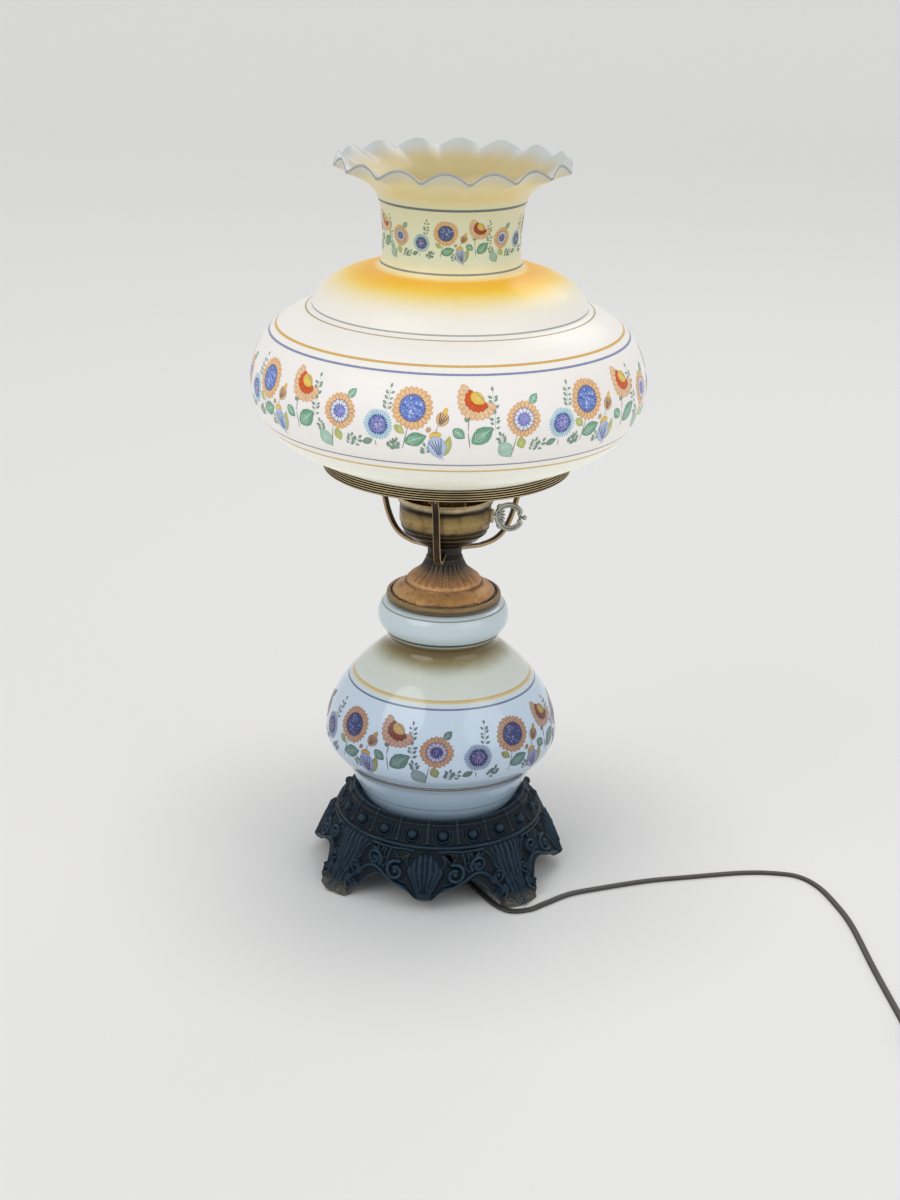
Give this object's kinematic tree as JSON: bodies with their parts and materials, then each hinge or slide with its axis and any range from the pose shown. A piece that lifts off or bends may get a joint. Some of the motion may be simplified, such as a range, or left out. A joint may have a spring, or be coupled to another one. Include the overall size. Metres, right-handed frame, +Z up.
{
  "type": "oil lamp",
  "caption": "Electric table lamp in hurricane oil-lamp style: ruffled opal glass shade and font with painted flowers, spun brass burner cup with turn key, cast footed base.",
  "frame": {"origin": "on the table, on the lamp's axis, under the middle of the base", "axes": "+Z up along the lamp's axis, the front of the base faces -Y, the turn key points along +X"},
  "size_m": [0.6224, 0.4464, 0.6077],
  "materials": {
    "base_casting": "aged blue-black casting, worn paler at the feet",
    "base_washer": "plain steel",
    "base_locknut": "plain brass",
    "cord_bushing": "black moulded",
    "lamp_pipe": "plain brass",
    "seat_gasket": "black rubber",
    "font_glass": "glossy opal glass with painted flowers and stripes",
    "cap_gasket": "black rubber",
    "vase_cap": "rust-brown copper tone, worn",
    "arm_hub": "dark aged brass, grooved",
    "arm_front": "antique brass",
    "arm_right": "antique brass",
    "arm_left": "antique brass",
    "shade_ring": "antique brass with dark grooves",
    "burner_cup": "antique brass, dark below the belly",
    "cup_locknut": "plain brass",
    "socket_cap": "bright brass",
    "socket_shell": "bright brass",
    "socket_liner": "dark fibre",
    "socket_body": "brown phenolic",
    "screw_shell": "bright brass",
    "centre_contact": "bright brass",
    "terminal_screws": "bright brass",
    "key_bush": "cream",
    "turn_key": "pewter-coloured, polished ridges",
    "bulb_tip": "solder",
    "bulb_base": "plain aluminium",
    "bulb_glass": "frosted, lit warm white",
    "shade_glass": "glossy opal glass, lit, with painted flowers, stripes and amber shoulder",
    "riser_cord": "dark brown",
    "cord_run": "dark brown flat twin cord",
    "cord_coil": "dark brown flat twin cord",
    "plug_body": "dark brown moulded",
    "plug_blades": "bright brass"
  },
  "bodies": {
    "stand": {"base_casting": "base_casting", "base_washer": "base_washer", "base_locknut": "base_locknut", "cord_bushing": "cord_bushing", "lamp_pipe": "lamp_pipe", "seat_gasket": "seat_gasket", "font_glass": "font_glass", "cap_gasket": "cap_gasket", "vase_cap": "vase_cap", "arm_hub": "arm_hub", "arm_front": "arm_front", "arm_right": "arm_right", "arm_left": "arm_left", "shade_ring": "shade_ring", "burner_cup": "burner_cup", "cup_locknut": "cup_locknut", "socket_cap": "socket_cap", "socket_shell": "socket_shell", "socket_liner": "socket_liner", "socket_body": "socket_body", "screw_shell": "screw_shell", "centre_contact": "centre_contact", "terminal_screws": "terminal_screws", "key_bush": "key_bush", "riser_cord": "riser_cord", "cord_run": "cord_run", "cord_coil": "cord_coil", "plug_body": "plug_body", "plug_blades": "plug_blades"},
    "key": {"turn_key": "turn_key"},
    "bulb_thread": {"bulb_tip": "bulb_tip"},
    "bulb": {"bulb_base": "bulb_base", "bulb_glass": "bulb_glass"},
    "shade": {"shade_glass": "shade_glass"}
  },
  "joints": [
    {"name": "key_turn", "type": "hinge", "parent": "stand", "child": "key", "pos_m": [0.053, 0, 0.314], "axis": [1, 0, 0], "continuous": true},
    {"name": "bulb_rise", "type": "slide", "parent": "stand", "child": "bulb_thread", "axis": [0, 0, 1], "range_m": [0, 0.0254]},
    {"name": "bulb_turn", "type": "hinge", "parent": "bulb_thread", "child": "bulb", "pos_m": [0, 0, 0.4], "axis": [0, 0, 1], "range_deg": [0, 2520]},
    {"name": "shade_lift", "type": "slide", "parent": "stand", "child": "shade", "axis": [0, 0, 1], "range_m": [0, 0.15]}
  ],
  "couplings": [
    {"joint": "bulb_rise", "follows": "bulb_turn", "m_per_rad": 0.00057755}
  ]
}
